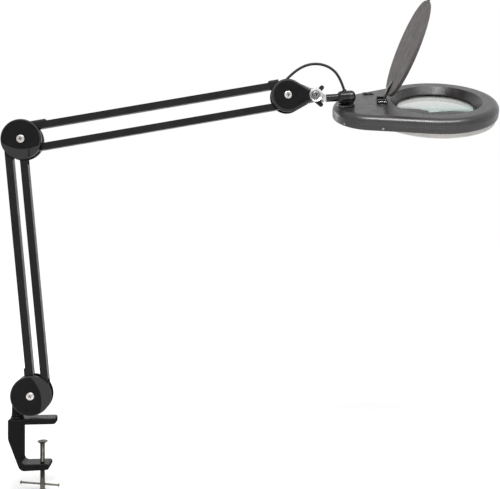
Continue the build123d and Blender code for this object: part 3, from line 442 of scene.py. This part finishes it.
def make_materials():
    """Every material that the lamp uses, by name."""
    made = {
        "bar_paint": coated("bar_paint", (0.0085, 0.008, 0.0085), (0.05, 0.05, 0.05), 0.34, 1500, 6e-6,
                            gloss=0.14),
        # The casting's paler edge colour paints the highlight lines along its rounded edges, partly wear.
        "cast_paint": coated("cast_paint", (0.0055, 0.005, 0.0055), (0.06, 0.06, 0.06), 0.27, 900, 1.6e-5,
                             gloss=0.07, rounding=0.0028, rough_inside=True),
        # The covers' bevel and crescent get a painted paler sheen in place of the reflection they would
        # catch.
        "cover_plastic": coated("cover_plastic", (0.0065, 0.006, 0.0065), (0.05, 0.05, 0.052), 0.30, 1300,
                                9e-6, gloss=0.08, painted_facet_sheen=(0.040, 0.038, 0.038), rounding=0.001),
        "strap_black": coated("strap_black", (0.02, 0.02, 0.02), (0.04, 0.04, 0.04), 0.5, 1200, 1e-5),
        "head_plastic": coated("head_plastic", (0.016, 0.014, 0.014), (0.06, 0.055, 0.055), 0.30, 1100,
                               3.2e-5, gloss=0.55, speck=(0.06, 0.055, 0.056), rounding=0.001),
        "lid_plastic": coated("lid_plastic", (0.072, 0.063, 0.062), (0.09, 0.08, 0.08), 0.55, 1400, 1.6e-5,
                              mottled=0.10, speck=(0.12, 0.11, 0.11)),
        "gloss_black": coated("gloss_black", (0.006, 0.006, 0.007), (0.05, 0.05, 0.05), 0.17, 700, 1e-6,
                              gloss=0.3, rounding=0.001),
        # The saddle's pale edge colour, laid on fully, paints a highlight on its rim, partly wear.
        "saddle_black": coated("saddle_black", (0.008, 0.008, 0.009), (0.30, 0.30, 0.30), 0.16, 700, 4e-6,
                               gloss=0.5, wear_and_highlight=1.0),
        "small_plastic": coated("small_plastic", (0.008, 0.008, 0.008), (0.04, 0.04, 0.04), 0.28, 1500,
                                8e-6, gloss=0.3),
        "screw_steel": bare_metal("screw_steel", (0.12, 0.11, 0.095), 0.30, (1, 1, 8), reach=0.0012),
        "zinc": bare_metal("zinc", (0.62, 0.60, 0.57), 0.25),
        "small_zinc": bare_metal("small_zinc", (0.30, 0.29, 0.28), 0.3),
        "chrome": bare_metal("chrome", (0.66, 0.66, 0.67), 0.16, tarnish=0.25, height=1e-6),
        "dark_chrome": bare_metal("dark_chrome", (0.26, 0.26, 0.27), 0.18, tarnish=0.3, height=1e-6),
        "spring_steel": bare_metal("spring_steel", (0.55, 0.55, 0.56), 0.3, (1, 1, 30)),
        "plate_steel": bare_metal("plate_steel", (0.5, 0.5, 0.51), 0.32),
        "rubber": coated("rubber", (0.012, 0.012, 0.012), (0.02, 0.02, 0.02), 0.42, 2200, 1.2e-5),
        "bush": coated("bush", (0.02, 0.02, 0.02), (0.05, 0.05, 0.05), 0.45, 1500, 6e-6),
        "ring_plastic": coated("ring_plastic", (0.06, 0.06, 0.06), (0.1, 0.1, 0.1), 0.45, 1500, 6e-6),
        "board": coated("board", (0.75, 0.78, 0.74), (0.7, 0.7, 0.6), 0.5, 1200, 8e-6, mottled=0.05),
        "led": coated("led", (0.85, 0.80, 0.42), (0.9, 0.9, 0.8), 0.25, 1200, 6e-6, mottled=0.08),
    }
    made["lens_glass"] = lens_glass()
    made["diffuser"] = diffuser_plastic()
    return made


MATERIAL_OF = {
    "clamp_frame": "cast_paint", "swivel_bush": "bush", "clamp_pad": "screw_steel",
    "clamp_screw": "screw_steel", "tommy_bar": "screw_steel",
    "shoulder_bracket": "cast_paint", "shoulder_cover_front": "cover_plastic",
    "shoulder_cover_back": "cover_plastic", "shoulder_screw": "zinc", "shoulder_nut": "zinc",
    "lower_pivot_pin": "zinc",
    "lower_back_bar": "bar_paint", "lower_front_bar": "bar_paint", "lower_back_strap": "strap_black",
    "lower_back_spring": "spring_steel", "lower_front_spring": "spring_steel",
    "elbow_plates": "plate_steel", "elbow_pivot_pins": "zinc", "elbow_cover_front": "cover_plastic",
    "elbow_cover_back": "cover_plastic", "elbow_screw": "zinc", "elbow_nut": "zinc",
    "upper_top_bar": "bar_paint", "upper_bottom_bar": "bar_paint", "upper_elbow_strap": "strap_black",
    "upper_head_strap": "strap_black", "upper_top_spring": "spring_steel",
    "upper_bottom_spring": "spring_steel",
    "head_joint_plates": "plate_steel", "head_joint_pins": "zinc", "head_joint_cover_front": "cover_plastic",
    "head_joint_cover_back": "cover_plastic", "head_joint_screw": "zinc", "head_joint_nut": "zinc",
    "cable_grommet": "rubber", "head_cable": "rubber", "tilt_screw": "dark_chrome", "tilt_washer": "chrome",
    "tilt_nut": "zinc", "knuckle_bracket": "chrome", "wing_screw": "small_plastic",
    "neck_tube": "gloss_black", "neck_barrel": "gloss_black", "roll_axle": "zinc", "saddle": "saddle_black",
    "turn_clip": "zinc",
    "head_upper_shell": "head_plastic", "head_lower_shell": "head_plastic", "case_screws": "small_zinc",
    "lens": "lens_glass", "lens_ring": "ring_plastic", "led_board": "board", "leds": "led",
    "diffuser_ring": "diffuser", "switch_bezel": "small_plastic", "switch_rocker": "small_plastic",
    "lid_hinge_bracket": "small_plastic", "lid_hinge_pin": "zinc", "lid_arm": "small_plastic",
    "lid_disc": "lid_plastic",
}


def dress_nodes(made):
    """Give every CAD node its material."""
    for name, node in nodes.items():
        node.data.materials.clear()
        node.data.materials.append(made[MATERIAL_OF[name]])


# ---------------------------------------------------------------- small pieces
def add_piece(name, form, material, body, smooth=True):
    """Turn a bmesh into a piece that rides on a body."""
    mesh = bpy.data.meshes.new(name)
    bmesh.ops.recalc_face_normals(form, faces=form.faces)
    form.to_mesh(mesh)
    form.free()
    for polygon in mesh.polygons:
        polygon.use_smooth = smooth
    mesh.materials.append(material)
    piece = bpy.data.objects.new(name, mesh)
    scene.collection.objects.link(piece)
    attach(piece, body)
    return piece


def local_frame(origin, x_axis, z_axis):
    """The matrix of a frame with its X and Z axes along two directions at right angles."""
    y_axis = z_axis.cross(x_axis)
    matrix = Matrix((x_axis, y_axis, z_axis)).transposed().to_4x4()
    matrix.translation = origin
    return matrix


def grid_rings(form, rings, closed):
    """Skin rows of points, each row a closed ring; closed joins the last row to the first."""
    rows = [[form.verts.new(point) for point in ring] for ring in rings]
    pairs = list(zip(rows, rows[1:])) + ([(rows[-1], rows[0])] if closed else [])
    for one, two in pairs:
        for step in range(len(one)):
            after = (step + 1) % len(one)
            form.faces.new((one[step], one[after], two[after], two[step]))
    if not closed:
        form.faces.new(rows[0])
        form.faces.new(list(reversed(rows[-1])))


def make_clamp_thread(made):
    """The clamp's screw: a plain collar at its lower end, a plain shank and a cut thread."""
    low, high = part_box("clamp_screw")
    steps_per_turn, around = 8, 40
    collar_top = low.z + COLLAR_HEIGHT
    plain_top = low.z + THREAD_START
    heights = [low.z, low.z + COLLAR_BEVEL, collar_top - COLLAR_BEVEL, collar_top]
    edge = COLLAR_RADIUS - COLLAR_INSET
    radii = [edge, COLLAR_RADIUS, COLLAR_RADIUS, edge]
    rings = []
    for height, radius in zip(heights, radii):
        rings.append([(radius * cos(tau * turn / around), radius * sin(tau * turn / around), height)
                      for turn in range(around)])
    height = collar_top
    while height < high.z:
        ring = []
        for turn in range(around):
            phase = ((height - plain_top) / THREAD_PITCH - turn / around) % 1
            ridge = 1 - abs(2 * phase - 1)
            fade_in = min(1.0, max(0.0, (height - plain_top) / THREAD_PITCH))
            fade_out = min(1.0, (high.z - height) / THREAD_PITCH)
            radius = THREAD_CREST - (THREAD_CREST - THREAD_CORE) * (1 - ridge) * (fade_in * fade_out)
            angle = tau * turn / around
            ring.append((radius * cos(angle), radius * sin(angle), height))
        rings.append(ring)
        height += THREAD_PITCH / steps_per_turn
    form = bmesh.new()
    grid_rings(form, rings, closed=False)
    thread = add_piece("clamp_thread", form, made["screw_steel"], "clamp_screw", smooth=False)
    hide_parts("clamp_screw")


def make_lens_shade_ring(made):
    """A black ring where the funnel meets the lens: painted shade, put where the gap lies in shadow."""
    low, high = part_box("lens")
    normal = joint_line("head_turn")[1]
    middle = (low + high) / 2 + normal * SHADE_RING_RISE
    sideways = normal.orthogonal().normalized()
    form = bmesh.new()
    place = local_frame(middle, sideways, normal)
    rings = []
    turns, steps = 96, 10
    for turn in range(turns):
        angle = tau * turn / turns
        ring = []
        for step in range(steps):
            bend = tau * step / steps
            reach = SHADE_RING_REACH + SHADE_RING_RADIUS * cos(bend)
            rise = SHADE_RING_RADIUS * sin(bend)
            ring.append(place @ Vector((reach * cos(angle), reach * sin(angle), rise)))
        rings.append(ring)
    grid_rings(form, rings, closed=True)
    add_piece("lens_shade_ring", form, made["rubber"], "head")


def make_hinge_knurl(made):
    """A row of small steel beads along the lid bracket's near end."""
    pin_point, pin_axis = joint_line("lid_hinge")
    normal = joint_line("head_turn")[1]
    across = pin_axis.cross(normal).normalized()
    place = local_frame(pin_point - pin_axis * BEAD_ROW_SIDE, across, normal)
    form = bmesh.new()
    for step in range(BEAD_COUNT):
        bead = place @ Matrix.Translation((BEAD_ROW_START + BEAD_STEP * step, 0, -BEAD_ROW_DROP))
        bmesh.ops.create_uvsphere(form, u_segments=12, v_segments=8, radius=BEAD_RADIUS, matrix=bead)
    add_piece("hinge_knurl", form, made["chrome"], "head")


# ---------------------------------------------------------------- cable
def make_cable(made):
    """The cable's loop over the tilt joint, one smooth spline from grommet to neck."""
    start_x, start_z, side = 0.37842, 0.53485, 0.0106
    span = 0.47082 - start_x
    end_z = 0.51925
    route = [
        (start_x, side, start_z),
        (start_x + 0.169 * span, side * 0.8, start_z + 0.0167),
        (start_x + 0.450 * span, side * 0.48, start_z + 0.0275),
        (start_x + 0.732 * span, side * 0.2, start_z + 0.0230),
        (start_x + 0.926 * span, side * 0.05, start_z + 0.0062),
        (start_x + span, 0, end_z),
    ]
    curve = bpy.data.curves.new("cable", "CURVE")
    curve.dimensions = "3D"
    spline = curve.splines.new("NURBS")
    spline.points.add(len(route) - 1)
    for point, place in zip(spline.points, route):
        point.co = (*place, 1)
    spline.order_u = 3
    spline.use_endpoint_u = True
    spline.resolution_u = 24
    guide = bpy.data.objects.new("cable_guide", curve)
    scene.collection.objects.link(guide)
    line = bpy.data.meshes.new_from_object(guide)
    curve.bevel_depth = CABLE_DIAMETER / 2
    curve.bevel_resolution = 5
    curve.use_fill_caps = True
    bpy.context.view_layer.update()
    cable = bpy.data.objects.new("cable", bpy.data.meshes.new_from_object(guide))
    bpy.data.objects.remove(guide)
    bpy.data.meshes.remove(line)
    scene.collection.objects.link(cable)
    cable.data.materials.clear()
    cable.data.materials.append(made["rubber"])
    for polygon in cable.data.polygons:
        polygon.use_smooth = True
    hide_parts("head_cable")
    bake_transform(cable)


# ---------------------------------------------------------------- all of it
make_camera()
make_world()
make_floor()
make_lamp("key", (0.40, -1.5, 2.05), (2.2, 0.6), 58)
make_lamp("spark", (0.20, -1.62, 1.9), (0.42, 0.26), 10)
make_lamp("back", (-1.0, 1.4, 0.8), (0.8, 0.8), 8)
materials = make_materials()
dress_nodes(materials)
make_cable(materials)
make_clamp_thread(materials)
make_lens_shade_ring(materials)
make_hinge_knurl(materials)
